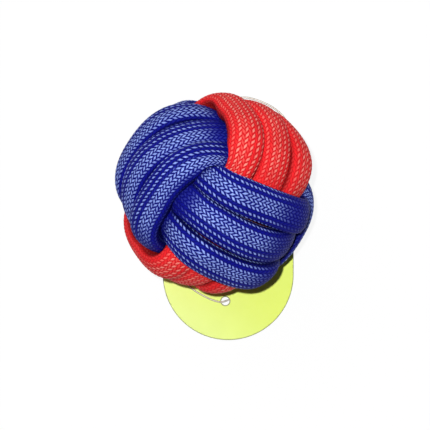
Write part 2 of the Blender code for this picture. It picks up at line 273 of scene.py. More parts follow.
END_ANGLE = 360 * TURNS + 90 - TUCK_ANGLE


def hand_drawn(points):
    """The points as the hands left them. A pull slides strands round the ball, and lifts or
    flattens only what lies on top."""
    heights = np.linalg.norm(points, axis=1, keepdims=True)
    directions = points / heights
    on_top = np.clip((heights - UNDER_RADIUS) / (OVER_RADIUS - UNDER_RADIUS), 0, 1)
    new_heights = heights.copy()
    new_directions = directions.copy()
    for place, pull in HAND_PULLS:
        middle = np.array(place) / np.linalg.norm(place)
        outward = np.dot(pull, middle)
        away = np.linalg.norm(directions - middle, axis=1, keepdims=True) * BALL_RADIUS
        share = np.exp(-(away / PULL_REACH) ** 2 / 2)
        new_directions += share * (pull - outward * middle) / BALL_RADIUS
        new_heights += share * outward * on_top
    return new_heights * new_directions / np.linalg.norm(new_directions, axis=1, keepdims=True)


def middle_line(axes):
    """A rope's angles and middle line, with straight ends one thickness long."""
    angles = np.linspace(START_ANGLE, END_ANGLE, STATIONS)
    points = strand_points(angles, axes)
    straight = math.degrees(ROPE_THICKNESS / UNDER_RADIUS)
    for bend, side in ((START_ANGLE + straight, -1), (END_ANGLE - straight, 1)):
        base, next_point = strand_points(np.array([bend, bend + side]), axes)
        ahead = next_point - base
        ahead *= UNDER_RADIUS * math.radians(1) / np.linalg.norm(ahead)
        past = (angles - bend) * side
        points = np.where(past[:, None] > 0, base + ahead * past[:, None], points)
    return angles, hand_drawn(points)


lines = {name: middle_line(axes) for name, axes in bands.items()}
for name, (_, points) in lines.items():
    length = np.linalg.norm(np.diff(points, axis=0), axis=1).sum()
    print(f"{name}: {length * 1000:.0f} mm of cord in the ball")

# %% [markdown]
# The cord's cross-section
#
# A braided cord is soft, and drawn tight in a knot it flattens. The section starts as a flattened
# round, the shape that the cord would take if it met nothing. An ellipse is the simplest such
# round, but a slightly squarer one is nearer to cord that has been pressed from two sides.

# %% Draw the free cord's outline
SIDES = 84
SECTION_WIDTH = 0.0150
SECTION_THICKNESS = 0.0090
SECTION_SQUARENESS = 2.25


def round_section():
    """Where the free cord's outline is: across, outwards, and how far from the middle."""
    angle = 2 * np.pi * np.arange(SIDES) / SIDES
    power = 2 / SECTION_SQUARENESS
    across = np.sign(np.cos(angle)) * np.abs(np.cos(angle)) ** power * SECTION_WIDTH / 2
    outward = np.sign(np.sin(angle)) * np.abs(np.sin(angle)) ** power * SECTION_THICKNESS / 2
    reach = np.hypot(across, outward)
    return across / reach, outward / reach, reach


print(f"free cord: {SECTION_WIDTH * 1000:.1f} x {SECTION_THICKNESS * 1000:.1f} mm, "
      f"{SIDES} points round it")

# %% [markdown]
# Squeezed by its neighbours
#
# In the knot the strands press on each other until they fill all the room. We could simulate that,
# but a rule gives the same result: every ray from a section's middle stops where it would come
# nearer to another strand than to its own. That stop is worked out directly for every point of
# every other strand. A soft minimum then blends the two limits, so that the edges stay rounded as
# in cloth.

# %% Squeeze each cross-section into the room it has
SQUEEZE_GAP = 0.00004
EDGE_ROUNDING = 22
OWN_TURN_APART = 150
STATIONS_AT_ONCE = 20
OUT_OF_REACH = 1.0
NEARLY_NONE = 1e-6


def room_left(centres, rays, angles, name):
    """How far each ray may go before it is nearer to another strand than to its own."""
    others = np.concatenate([points for other, (_, points) in lines.items() if other != name])
    own_angles, own_points = lines[name]
    around = np.concatenate([others, own_points])
    is_own = np.arange(len(around)) >= len(others)
    around_angle = np.concatenate([np.full(len(others), np.inf), own_angles])
    limit = np.empty(rays.shape[:2])
    for start in range(0, len(centres), STATIONS_AT_ONCE):
        part = slice(start, start + STATIONS_AT_ONCE)
        away = around[None] - centres[part, None]
        square = (away ** 2).sum(axis=2) - SQUEEZE_GAP ** 2
        same_turn = is_own & (np.abs(around_angle - angles[part, None]) < OWN_TURN_APART)
        square = np.where(same_turn, OUT_OF_REACH, square)
        towards = np.einsum("skx,spx->skp", rays[part], away) + SQUEEZE_GAP
        reach = square[:, None] / (2 * np.maximum(towards, NEARLY_NONE))
        limit[part] = reach.min(axis=2)
    return limit


def cord_rings(name):
    """One rope's cross-sections as rings of points, its length at each, and its direction."""
    angles, points = lines[name]
    ahead = np.gradient(points, axis=0)
    ahead /= np.linalg.norm(ahead, axis=1, keepdims=True)
    outward = points - ahead * (points * ahead).sum(axis=1, keepdims=True)
    outward /= np.linalg.norm(outward, axis=1, keepdims=True)
    across = np.cross(ahead, outward)
    x, y, free = round_section()
    rays = x[None, :, None] * across[:, None] + y[None, :, None] * outward[:, None]
    room = room_left(points, rays, angles, name)
    reach = (free[None] ** -EDGE_ROUNDING + room ** -EDGE_ROUNDING) ** (-1 / EDGE_ROUNDING)
    loops = points[:, None] + rays * reach[..., None]
    run = np.concatenate([[0], np.linalg.norm(np.diff(points, axis=0), axis=1).cumsum()])
    return loops, run, ahead


rings = {name: cord_rings(name) for name in lines}
for name, (loops, _, _) in rings.items():
    highest = np.linalg.norm(loops, axis=2).max()
    print(f"{name}: {loops.shape[0]} sections of {loops.shape[1]} points, "
          f"out to {highest * 1000:.1f} mm")

# %% [markdown]
# Melted ends
#
# Braid is cut with a hot knife, which melts its end shut so that it doesn't fray. Both ends of each
# rope are tucked under the outer turns, but an open end would leave the rope a hollow skin. We
# could cap it with one flat face. A small dome, a few rings that shrink as they step out beyond
# the last one, is closer to how melted yarn sets.

# %% Close both ends of each rope
END_RINGS = 4
DOME_HEIGHT = SECTION_THICKNESS / 4
DOME_SHARE = 0.97


def closed_ends(loops, run, ahead):
    """The rings and their lengths, with a small melted dome added at each end."""
    steps = np.arange(1, END_RINGS + 1)
    leans = math.pi / 2 * DOME_SHARE * steps / END_RINGS
    domes, beyond = [], []
    for end, side in ((0, -1), (-1, 1)):
        middle = loops[end].mean(axis=0)
        domes.append([middle + (loops[end] - middle) * math.cos(lean)
                      + ahead[end] * side * math.sin(lean) * DOME_HEIGHT for lean in leans])
        beyond.append(run[end] + side * DOME_HEIGHT / END_RINGS * steps)
    return (np.concatenate([domes[0][::-1], loops, domes[1]]),
            np.concatenate([beyond[0][::-1], run, beyond[1]]))


closed = {name: closed_ends(*rings[name]) for name in rings}
for name, (loops, run) in closed.items():
    print(f"{name}: {len(loops)} rings, {(run[-1] - run[0]) * 1000:.0f} mm with its ends")

# %% [markdown]
# The braid's own coordinates
#
# The cover of the cord is a tubular braid: yarns run round it both ways and show as columns of
# short slanting floats. To place them at the right scale we count in the braid's own units, columns
# round the cord and floats along it. Both come from measured lengths, so the pattern flows with the
# cord through every bend and squeeze. A bump in the material would leave the rope's outline smooth,
# so we move each ring's points to the borders and thirds of the columns, and press the mesh in
# between the floats.

# %% Press the rope in between its floats
COLUMNS = 28
COLUMN_DRIFT = 0.7
DRIFT_PERIOD = 0.19
DRIFT_START = 1.3
DRIFT_STEP = 2.1
FLOAT_PITCH = 0.0018
FLOAT_SLANT = 0.65
FLOAT_RELIEF = 0.0002
RELIEF_FADE = 0.002


def column_map(loops, run, drift_start):
    """The rings from the side at the core on, and the braid column that each point is in."""
    half = SIDES // 2
    core_side = 3 * SIDES // 4
    ordered = np.roll(loops, -core_side, axis=1)
    joined = np.concatenate([ordered, ordered[:, :1]], axis=1)
    round_it = np.linalg.norm(np.diff(joined, axis=1), axis=2).cumsum(axis=1)
    round_it = np.concatenate([np.zeros((len(loops), 1)), round_it], axis=1)
    at_crest = round_it[:, half:half + 1]
    first = round_it[:, :half + 1] / at_crest
    second = (round_it[:, half + 1:] - at_crest) / (round_it[:, -1:] - at_crest)
    columns = np.concatenate([first, 1 + second], axis=1) * COLUMNS / 2
    drift = COLUMN_DRIFT * np.sin(2 * np.pi * run / DRIFT_PERIOD + drift_start)
    return ordered, columns + drift[:, None]


def braided_rings(loops, run, drift_start):
    """The rings with points on the columns' borders and thirds, pressed in between the floats."""
    ordered, columns = column_map(loops, run, drift_start)
    wanted = np.arange(SIDES) * COLUMNS / SIDES
    for ring, places in zip(ordered, columns[:, :-1]):
        ring[:] = np.stack([np.interp(wanted, places, axis, period=COLUMNS)
                            for axis in ring.copy().T], axis=1)
    other_way = np.floor(wanted) % 2
    slanted = (wanted % 1 - 0.5) * FLOAT_SLANT * (1 - 2 * other_way)
    within = (run[:, None] / FLOAT_PITCH + slanted + other_way / 2) % 1 - 0.5
    crown = np.cos(np.pi * within) * (wanted % 1 > 0)
    inward = ordered.mean(axis=1, keepdims=True) - ordered
    reach = np.linalg.norm(inward, axis=2, keepdims=True)
    depth = FLOAT_RELIEF * (1 - crown[..., None]) * np.clip(reach / RELIEF_FADE, 0, 1)
    return ordered + inward / reach * depth, wanted


braided = {name: braided_rings(*ends, DRIFT_START + DRIFT_STEP * k)
           for k, (name, ends) in enumerate(closed.items())}
print(f"braid: {COLUMNS} columns round the cord, a float each {FLOAT_PITCH * 1000:.1f} mm")

# %% [markdown]
# Where the painted highlights show
#
# In the photograph every turn has rows of pale dots along one side, a band of zigzags near its
# middle and a plain lane along the other side, and it goes plain and dark where it dives. The gloss
# of real yarn does this, and it depends on the lamp. A shader's gloss alone came out too even, so
# we paint these highlights into the colour, in lanes that we choose ourselves. They keep to the
# braid's columns, lean a little to the highest point of each ring, as gloss would, and fade out
# where a turn bends away from the light. Three numbers at each point of the mesh carry that to the
# finish: the painted highlights, the zigzags among them, and a painted shade that darkens the
# grooves and, much more, the parts that dive under other strands.

# %% Choose the lanes of painted highlights
CREST = COLUMNS / 2
# Painted highlights: the side that gets them, the plain lane, the zigzag band, and the lean to each
# ring's top.
GLINT_SIDE = {"blue_rope_upper": -1, "blue_rope_lower": 1, "red_rope": -1}
PLAIN_LANE = {"blue_rope_upper": (-3.7, -2.0), "blue_rope_lower": (-7.5, -6.0),
              "red_rope": (-5.6, -2.2)}
FAINT = 0.06
ZIGZAG_MIDDLE = {"blue_rope_upper": -0.5, "blue_rope_lower": 0.6, "red_rope": -1.0}
ZIGZAG_FULL = 1.1
ZIGZAG_GONE = 2.4
TOP_PULL = {"blue_rope_upper": 0.4, "blue_rope_lower": 0.4, "red_rope": 0.1}
TOP_LIMIT = 5
# Painted highlights fade out over these angles round each turn, where the turn bends away from the
# light.
PLAIN_END = {"blue_rope_upper": ((60, 80), (45, 65), (15, 40)),
             "blue_rope_lower": ((8, 26), (0, 18), (-6, 16)),
             "red_rope": ((10, 40), (10, 40), (10, 40))}
# Where a strand dives, its painted highlights fade out between these heights.
DIVE_START = 0.0298
DIVE_END = 0.0328
# Painted shade where a strand dives under another: how deep it starts, and how dark it gets.
DARK_DEPTH = 0.001
UNDER_DARK = -0.45
# Painted shade across a strand: darkest in its grooves, none near its top.
GROOVE_LOW = 0.0006
GROOVE_HIGH = 0.0026


def glint_lanes(name, loops, columns):
    """Per point: painted highlights, zigzags among them, and painted shade in grooves and dives."""
    middle = np.linalg.norm(loops.mean(axis=1), axis=1, keepdims=True)
    on_top = eased(middle, DIVE_START, DIVE_END)
    in_light = eased(middle, UNDER_RADIUS + DARK_DEPTH, DIVE_START)
    number, turn = np.divmod(np.pad(lines[name][0], END_RINGS, mode="edge") + 180, 360)
    turn = turn[:, None] - 180
    # The painted highlights fade out towards the ends of some turns, where they bend away from the
    # light.
    ends = np.array(PLAIN_END[name])[np.clip(number.astype(int), 1, TURNS) - 1]
    plain = eased(turn, ends[:, :1], ends[:, 1:])
    on_top = on_top * np.where(np.abs(turn) < 90, 1 - plain, 1)
    side = (columns - CREST) * GLINT_SIDE[name]
    top = np.clip(side[loops[..., 2].argmax(axis=1)], -TOP_LIMIT, TOP_LIMIT)[:, None]
    side = side - TOP_PULL[name] * top
    # Painted highlights: strong in the chosen lane, faint elsewhere, and zigzags in a band near the
    # middle.
    painted_glints = FAINT + (1 - FAINT) * on_top * eased(side, *PLAIN_LANE[name])
    zigzag_glints = painted_glints * eased(np.abs(side - ZIGZAG_MIDDLE[name]), ZIGZAG_GONE, ZIGZAG_FULL)
    # Painted shade: darker towards the grooves between strands, much darker where a strand dives
    # under another.
    out_of_groove = eased(np.linalg.norm(loops, axis=2) - middle, GROOVE_LOW, GROOVE_HIGH)
    painted_shading = UNDER_DARK + (out_of_groove - UNDER_DARK) * in_light
    return {"painted_glints": painted_glints, "zigzag_glints": zigzag_glints, "painted_shading": painted_shading}


lanes = {name: glint_lanes(name, *made) for name, made in braided.items()}
for name, values in lanes.items():
    print(f"{name}: {(values['painted_glints'] > 0.5).mean():.0%} of its points are flecked")

# %% [markdown]
# The rope meshes
#
# Each rope becomes one closed mesh: rings joined by four-sided faces, with a cap at each end. Where
# the ball stands on the floor the strand is pressed flat. The material has to find the same floats
# that the mesh shows, so the mesh carries a UV map in the braid's units: U counts the columns and V
# the floats.

# %% Turn the rings into rope meshes
def mesh_object(name, spots, faces):
    """Makes a mesh from its points and faces, and an object that shows it."""
    mesh = bpy.data.meshes.new(name)
    mesh.from_pydata(np.asarray(spots).tolist(), [], faces)
    return new_object(name, mesh)


def store(mesh, title, values):
    """Stores one number at each point of the mesh."""
    mesh.attributes.new(title, "FLOAT", "POINT").data.foreach_set(
        "value", np.asarray(values, dtype=np.float32).ravel())


def quad_corners(grid):
    """The four corners of every face between neighbouring rows and columns of a grid."""
    return np.stack([grid[:-1, :-1], grid[1:, :-1], grid[1:, 1:], grid[:-1, 1:]], axis=2)


def rope_mesh(name):
    """One closed rope, flattened where it rests on the floor, with its braid map."""
    loops, columns = braided[name]
    run = closed[name][1]
    spots = loops + ball_centre
    spots[..., 2] = np.maximum(spots[..., 2], 0.0)
    count = len(loops)
    grid = np.arange(count * SIDES).reshape(count, SIDES)
    grid = np.concatenate([grid, grid[:, :1]], axis=1)
    faces = quad_corners(grid).reshape(-1, 4).tolist()
    faces += [grid[0, :-1].tolist(), grid[-1, :-1][::-1].tolist()]
    rope = mesh_object("woven_" + name, spots.reshape(-1, 3), faces)
    floats = np.repeat(run[:, None] / FLOAT_PITCH, SIDES + 1, axis=1)
    place = np.stack([np.tile(np.append(columns, COLUMNS), (count, 1)), floats], axis=-1)
    braid_map = np.concatenate([quad_corners(place).reshape(-1, 2), place[0, :-1],
                                place[-1, :-1][::-1]])
    rope.data.uv_layers.new(name="braid").uv.foreach_set(
        "vector", braid_map.astype(np.float32).ravel())
    for title, values in lanes[name].items():
        store(rope.data, title, values)
    rope.data.shade_smooth()
    rope.data.validate()
    return rope


ropes = {name: rope_mesh(name) for name in lines}
for name, rope in ropes.items():
    print(f"{rope.name}: {len(rope.data.polygons)} faces")

# %% [markdown]
# Small helpers for materials
#
# A finish in Blender is a small network of nodes. Short helpers keep the recipes readable. They add
# a node with its settings, do a sum, stretch a range, and mix or shade a colour. Two more start a
# reusable node group with named inputs and outputs, and a new material.

# %% Helpers that add nodes
def add_node(tree, kind, inputs=None, **settings):
    """Adds a node, sets it up, and feeds its inputs from numbers, colours or other sockets."""
    node = tree.nodes.new(kind)
    for key, value in settings.items():
        setattr(node, key, value)
    for key, value in (inputs or {}).items():
        feed(tree, node.inputs[key], value)
    return node


def feed(tree, socket, value):
    """Links a socket to another one, or sets it to a number or colour."""
    if isinstance(value, bpy.types.NodeSocket):
        tree.links.new(value, socket)
    else:
        socket.default_value = value


def feed_node(tree, node, **values):
    """Feeds a node's sockets, named with _ for a space."""
    for key, value in values.items():
        feed(tree, node.inputs[key.replace("_", " ")], value)


def sums(tree, operation, *values):
    """Adds one step of arithmetic and returns its result."""
    return add_node(tree, "ShaderNodeMath", dict(enumerate(values)),
                    operation=operation).outputs[0]


def remap(tree, value, low, high, to_low=0.0, to_high=1.0):
    """Stretches low..high to a new range, with soft ends."""
    return add_node(tree, "ShaderNodeMapRange",
                    {"Value": value, "From Min": low, "From Max": high,
                     "To Min": to_low, "To Max": to_high},
                    interpolation_type="SMOOTHSTEP").outputs["Result"]


def mix_colour(tree, share, first, second):
    """Blends two colours by a share from 0 to 1."""
    return add_node(tree, "ShaderNodeMix", {0: share, 6: first, 7: second},
                    data_type="RGBA").outputs[2]


def shaded(tree, colour, share):
    """Makes a colour lighter or darker by a share."""
    return add_node(tree, "ShaderNodeVectorMath", {0: colour, 1: share},
                    operation="MULTIPLY").outputs[0]


def new_group(name, inputs, outputs):
    """Starts a node group; returns it with what comes in and what goes out."""
    group = bpy.data.node_groups.new(name, "ShaderNodeTree")
    for title, kind, value in inputs:
        socket = group.interface.new_socket(title, in_out="INPUT", socket_type=kind)
        if value is not None:
            socket.default_value = value
    for title in outputs:
        group.interface.new_socket(title, in_out="OUTPUT", socket_type="NodeSocketFloat")
    return (group, group.nodes.new("NodeGroupInput").outputs,
            group.nodes.new("NodeGroupOutput").inputs)


def new_material(name):
    """A material with nodes; returns it, its tree and its shader."""
    material = bpy.data.materials.new(name)
    material.use_nodes = True
    return material, material.node_tree, material.node_tree.nodes["Principled BSDF"]


print("helpers ready")

# %% [markdown]
# The braid group
#
# Look closely at the cord: each column holds parallel floats of yarn, all slanting one way, and
# the next column slants the other way, half a float further on. Where light catches their crowns
# they show as pale dots and zigzags, which the rope's finish paints on as highlights. The group
# works out, for any place on the cord, how high the yarn stands, how near the place is to a crown,
# which way its column slants, and a shade for that one float. A slow noise moves the place a
# little, because no hand or machine lays every float alike. Blue and red ropes use the group with
# their own colours.

# %% Build the braid group
WANDER = (0.4, 0.5, 0.0)
WANDER_SCALE = 0.55
CROWN_EDGE = 0.34
CROWN_FULL = 0.17
CROWN_END = 0.26
DOME_ALONG = 0.8
DOME_BESIDE = 0.5


def build_braid():
    """From a place in the braid's units: yarn height, crown, the column's way, a shade."""
    group, given, result = new_group(
        "braid",
        [("Place", "NodeSocketVector", None), ("Slant", "NodeSocketFloat", FLOAT_SLANT),
         ("Wander", "NodeSocketVector", WANDER), ("Half Length", "NodeSocketFloat", 0.5)],
        ["Height", "Crown", "Second Way", "Shade"])
    noise = add_node(group, "ShaderNodeTexNoise",
                     {"Vector": given["Place"], "Scale": WANDER_SCALE, "Detail": 1.0})
    centred = add_node(group, "ShaderNodeVectorMath",
                       {0: noise.outputs["Color"], 1: (0.5, 0.5, 0.5)}, operation="SUBTRACT")
    moved = add_node(group, "ShaderNodeVectorMath",
                     {0: centred.outputs[0], 1: given["Wander"], 2: given["Place"]},
                     operation="MULTIPLY_ADD")
    parts = add_node(group, "ShaderNodeSeparateXYZ", {0: moved.outputs[0]})
    column = sums(group, "FLOOR", parts.outputs["X"])
    beside = sums(group, "SUBTRACT", sums(group, "SUBTRACT", parts.outputs["X"], column), 0.5)
    other_way = sums(group, "FLOORED_MODULO", column, 2.0)
    way = sums(group, "MULTIPLY_ADD", other_way, -2.0, 1.0)
    slanted = sums(group, "MULTIPLY", sums(group, "MULTIPLY", beside, given["Slant"]), way)
    along = sums(group, "ADD", sums(group, "ADD", parts.outputs["Y"], slanted),
                 sums(group, "MULTIPLY", other_way, 0.5))
    number = sums(group, "FLOOR", along)
    within = sums(group, "SUBTRACT", sums(group, "SUBTRACT", along, number), 0.5)
    dome_along = sums(group, "COSINE", sums(group, "MULTIPLY", within, math.pi))
    dome_beside = sums(group, "COSINE", sums(group, "MULTIPLY", beside, math.pi))
    height = sums(group, "MULTIPLY", sums(group, "POWER", dome_along, DOME_ALONG),
                  sums(group, "POWER", dome_beside, DOME_BESIDE))
    label = add_node(group, "ShaderNodeCombineXYZ", {"X": column, "Y": number})
    shade = add_node(group, "ShaderNodeTexWhiteNoise", {"Vector": label.outputs[0]},
                     noise_dimensions="2D").outputs["Value"]
    to_end = sums(group, "SUBTRACT", given["Half Length"], sums(group, "ABSOLUTE", beside))
    crown = sums(group, "MULTIPLY",
                 remap(group, sums(group, "ABSOLUTE", within), CROWN_EDGE, CROWN_FULL),
                 remap(group, to_end, 0.0, CROWN_END))
    for title, value in (("Height", height), ("Crown", crown), ("Second Way", other_way),
                         ("Shade", shade)):
        group.links.new(value, result[title])
    return group


braid_group = build_braid()
print("braid group:", len(braid_group.nodes), "nodes")

# %% [markdown]
# A group for handling and age
#
# No real surface is one even tone. A slow noise lightens and darkens it by a few percent, as
# handling and dust do. All the object's materials share this group and choose their own scale.

# %% Build the handling group
def build_handling():
    """A tone round 1 that drifts over the surface."""
    group, given, result = new_group(
        "handling",
        [("Scale", "NodeSocketFloat", 60.0), ("Amount", "NodeSocketFloat", 0.1)],
        ["Tone"])
    place = add_node(group, "ShaderNodeTexCoord").outputs["Object"]
    noise = add_node(group, "ShaderNodeTexNoise",
                     {"Vector": place, "Scale": given["Scale"], "Detail": 3.0})
    centred = sums(group, "SUBTRACT", noise.outputs["Fac"], 0.5)
    tone = sums(group, "MULTIPLY_ADD", centred, given["Amount"], 1.0)
    group.links.new(tone, result["Tone"])
    return group


handling_group = build_handling()


def place_group(tree, group, **inputs):
    """Puts a node group in a material and feeds it, with _ for a space in its inputs' names."""
    node = add_node(tree, "ShaderNodeGroup", node_tree=group)
    feed_node(tree, node, **inputs)
    return node.outputs


def handled(tree, colour, scale, amount):
    """The colour with the slow changes of tone that handling leaves."""
    tone = place_group(tree, handling_group, Scale=scale, Amount=amount)["Tone"]
    return shaded(tree, colour, tone)


print("handling group:", len(handling_group.nodes), "nodes")

# %% [markdown]
# The rope's finish
#
# The yarn is glossy polypropylene or nylon, and each float is a tiny rounded bar that flashes where
# it faces the lamp. We paint those flashes into the colour as highlights: a pale bar on each crown,
# as strong as the mesh's lanes say, a little brighter or duller from float to float. A touch of
# satin goes on top. The relief is mostly in the mesh, and a small bump sharpens it. Between the
# floats and deep in the grooves little light arrives, so we paint shade there too: the yarn's
# colour darkens, most where a strand dives under another. The same recipe makes both colours.

# %% Mix the blue and red rope finishes
FINE_RELIEF = 0.00013
DULLEST_FLOAT = 0.8
GAP_HEIGHT = 0.5
GROOVE_SHADE = 0.35
GAP_ROUGHNESS = 0.7
CROWN_ROUGHNESS = 0.5
# Each rope's pale colour is the painted highlight on its floats' crowns.
ROPE_COLOURS = {
    "blue": {"deep": (0.006, 0.007, 0.27), "glint_colour": (0.34, 0.46, 1.0, 1),
             "tint": (0.3, 0.42, 1.0, 1), "satin": 0.12, "second": 0.95, "gap_shade": 0.3,
             "half_lengths": (0.46, 0.50)},
    "red": {"deep": (0.95, 0.022, 0.028), "glint_colour": (1.0, 0.33, 0.27, 1),
            "tint": (1.0, 0.4, 0.35, 1), "satin": 0.05, "second": 0.3, "gap_shade": 0.62,
            "half_lengths": (0.50, 0.50)},
}


def rope_material(name, deep, glint_colour, tint, satin, second, gap_shade, half_lengths):
    """Braided yarn. Second is how strongly the columns of the other way show in the zigzags."""
    material, tree, shader = new_material(name)
    place = add_node(tree, "ShaderNodeUVMap", uv_map="braid").outputs["UV"]
    painted_glints, zigzag_glints, painted_shading = [
        add_node(tree, "ShaderNodeAttribute", attribute_name=title).outputs["Fac"]
        for title in ("painted_glints", "zigzag_glints", "painted_shading")]
    braid = place_group(tree, braid_group, Place=place,
                        Half_Length=remap(tree, zigzag_glints, 0.0, 1.0, *half_lengths))
    strength = add_node(tree, "ShaderNodeMix",
                        {0: braid["Second Way"], 2: painted_glints,
                         3: sums(tree, "MULTIPLY", zigzag_glints, second)},
                        data_type="FLOAT").outputs[0]
    # Painted highlight: crowns in the chosen lanes are mixed towards the pale colour.
    caught = sums(tree, "MULTIPLY", sums(tree, "MULTIPLY", braid["Crown"], strength),
                  remap(tree, braid["Shade"], 0.0, 1.0, DULLEST_FLOAT, 1.0))
    # Painted shade: the colour darkens between the floats and towards the grooves, most where a
    # strand dives under.
    gap = remap(tree, braid["Height"], 0.0, GAP_HEIGHT, gap_shade, 1.0)
    groove = sums(tree, "MULTIPLY_ADD", painted_shading, 1 - GROOVE_SHADE, GROOVE_SHADE)
    dark = shaded(tree, deep, sums(tree, "MULTIPLY", gap, groove))
    yarn = handled(tree, mix_colour(tree, caught, dark, glint_colour), scale=90.0, amount=0.35)
    bump = add_node(tree, "ShaderNodeBump", {"Strength": 1.0, "Distance": FINE_RELIEF,
                                             "Height": braid["Height"]})
    feed_node(tree, shader, Base_Color=yarn, Normal=bump.outputs[0],
              Roughness=remap(tree, braid["Crown"], 0.0, 1.0, GAP_ROUGHNESS, CROWN_ROUGHNESS),
              Metallic=sums(tree, "MULTIPLY", caught, satin),
              Specular_IOR_Level=0.15, Specular_Tint=tint)
    return material


finishes = {colour: rope_material(colour + "_braid", **look)
            for colour, look in ROPE_COLOURS.items()}
for name, rope in ropes.items():
    rope.data.materials.append(finishes[name.split("_")[0]])
print("rope finishes:", [finish.name for finish in finishes.values()])

# %% [markdown]
# The core
#
# The ropes are wound round a ball of wood. It is hidden, but the ball would fold up without it, so
# it is made properly: a profile turned on a lathe, with the small flat that the lathe's centres
# leave at each end and a few shallow tool marks. We step round and down the ball and join the
# points, which is just what the lathe does, where a ready-made sphere would be too perfect.

# %% Turn the wooden core
CORE_AROUND = 64
CORE_ROWS = 48
CENTRE_FLAT = math.radians(6)
TOOL_MARK = 0.00006
MARK_SPACING = 2.4
DARK_WOOD = (0.42, 0.25, 0.12, 1)
PALE_WOOD = (0.62, 0.42, 0.23, 1)


def turned_core():
    """The wooden ball, turned row by row, with its tool marks."""
    spots, faces = [], []
    for row in range(CORE_ROWS + 1):
        lean = CENTRE_FLAT + (math.pi - 2 * CENTRE_FLAT) * row / CORE_ROWS
        mark = TOOL_MARK * math.sin(row * MARK_SPACING) * math.sin(lean)
        for k in range(CORE_AROUND):
            turn = 2 * math.pi * k / CORE_AROUND
            spots.append(ball_centre + (CORE_DIAMETER / 2 - TOOL_MARK + mark) * np.array(
                (math.sin(lean) * math.cos(turn), math.sin(lean) * math.sin(turn),
                 math.cos(lean))))
    for row in range(0, CORE_ROWS * CORE_AROUND, CORE_AROUND):
        for k in range(CORE_AROUND):
            n = (k + 1) % CORE_AROUND
            faces.append((row + k, row + CORE_AROUND + k, row + CORE_AROUND + n, row + n))
    last = CORE_ROWS * CORE_AROUND
    faces += [list(range(CORE_AROUND)), [last + k for k in reversed(range(CORE_AROUND))]]
    core = mesh_object("turned_core", spots, faces)
    core.data.shade_smooth()
    return core


wood_finish, tree, shader = new_material("core_wood")
place = add_node(tree, "ShaderNodeTexCoord").outputs["Object"]
grain = add_node(tree, "ShaderNodeTexWave",
                 {"Vector": place, "Scale": 90.0, "Distortion": 6.0, "Detail": 3.0},
                 wave_type="RINGS", rings_direction="Z").outputs["Fac"]
wood = mix_colour(tree, grain, DARK_WOOD, PALE_WOOD)
bump = add_node(tree, "ShaderNodeBump", {"Strength": 0.4, "Distance": 0.0001, "Height": grain})
feed_node(tree, shader, Base_Color=handled(tree, wood, scale=120.0, amount=0.3),
          Normal=bump.outputs[0], Roughness=remap(tree, grain, 0.0, 1.0, 0.62, 0.74))
turned = turned_core()
turned.data.materials.append(wood_finish)
print("core:", len(turned.data.polygons), "faces")

# %% [markdown]
# The card tag
#
# The tag is thin lime card: square at the ball's end, round at the other, with a punched hole. We
# draw its outline as seen from the hole: one wide arc, and a small one at each square corner. A
# long edge with no points on it would give thin, skewed faces, so the straights get points too.

# %% Draw the tag's outline
TAG_WIDTH = 0.051
TAG_LENGTH = 0.040
TAG_CORNER = 0.003
TAG_HOLE_INSET = 0.0152
TAG_HOLE_SHIFT = 0.0011
TAG_SPACING = 0.0015
ROUND_STEPS = 96
CORNER_STEPS = 12


def arc_points(centre, radius, start, end, count):
    """Points on an arc, both its ends included."""
    angles = [math.radians(start + (end - start) * k / count) for k in range(count + 1)]
    return [(centre[0] + radius * math.cos(angle), centre[1] + radius * math.sin(angle))
            for angle in angles]


def card_outline():
    """The card's edge round its hole, with points close together on the straights too."""
    half = TAG_WIDTH / 2
    top = TAG_LENGTH - TAG_HOLE_INSET
    inner = half - TAG_CORNER
    corners = arc_points((TAG_HOLE_SHIFT, half - TAG_HOLE_INSET), half, 180, 360, ROUND_STEPS)
    for side, start in ((1, 0), (-1, 90)):
        middle = (TAG_HOLE_SHIFT + side * inner, top - TAG_CORNER)
        corners += arc_points(middle, TAG_CORNER, start, start + 90, CORNER_STEPS)
    outline = []
    for start, end in zip(corners, corners[1:] + corners[:1]):
        steps = max(1, round(math.dist(start, end) / TAG_SPACING))
        outline += [(start[0] + (end[0] - start[0]) * k / steps,
                     start[1] + (end[1] - start[1]) * k / steps) for k in range(steps)]
    return np.array(outline)


outline = card_outline()
print(f"tag: {len(outline)} points round its edge")

# %% [markdown]
# A stamped edge
#
# A stamped edge isn't a knife edge, so the card has a small bevel at the rim and at the hole. The
# outline surrounds the hole, so we can sweep one profile round it and get an even mesh with no
# boolean cut. Each row of the profile is a distance out from the hole, in from the edge, or a share
# of the span between them, and then a height.

# %% Stamp the tag
TAG_HOLE_DIAMETER = 0.0032
TAG_BEVEL = 0.00013
RIM_WIDTH = 0.0004
LOW, HIGH = 0.0, TAG_THICKNESS
TAG_PROFILE = [
    ("hole", 0.0, LOW + TAG_BEVEL), ("hole", TAG_BEVEL, LOW), ("hole", 0.001, LOW),
    ("span", 0.25, LOW), ("span", 0.5, LOW), ("span", 0.75, LOW),
    ("edge", 0.001, LOW), ("edge", TAG_BEVEL, LOW), ("edge", 0.0, LOW + TAG_BEVEL),
    ("edge", 0.0, HIGH - TAG_BEVEL), ("edge", TAG_BEVEL, HIGH), ("edge", 0.00045, HIGH),
    ("edge", 0.0011, HIGH),
    ("span", 0.9, HIGH), ("span", 0.75, HIGH), ("span", 0.6, HIGH), ("span", 0.45, HIGH),
    ("span", 0.3, HIGH), ("span", 0.18, HIGH),
    ("hole", 0.001, HIGH), ("hole", 0.00045, HIGH), ("hole", 0.00035, HIGH),
    ("hole", TAG_BEVEL, HIGH), ("hole", 0.0, HIGH - TAG_BEVEL),
]


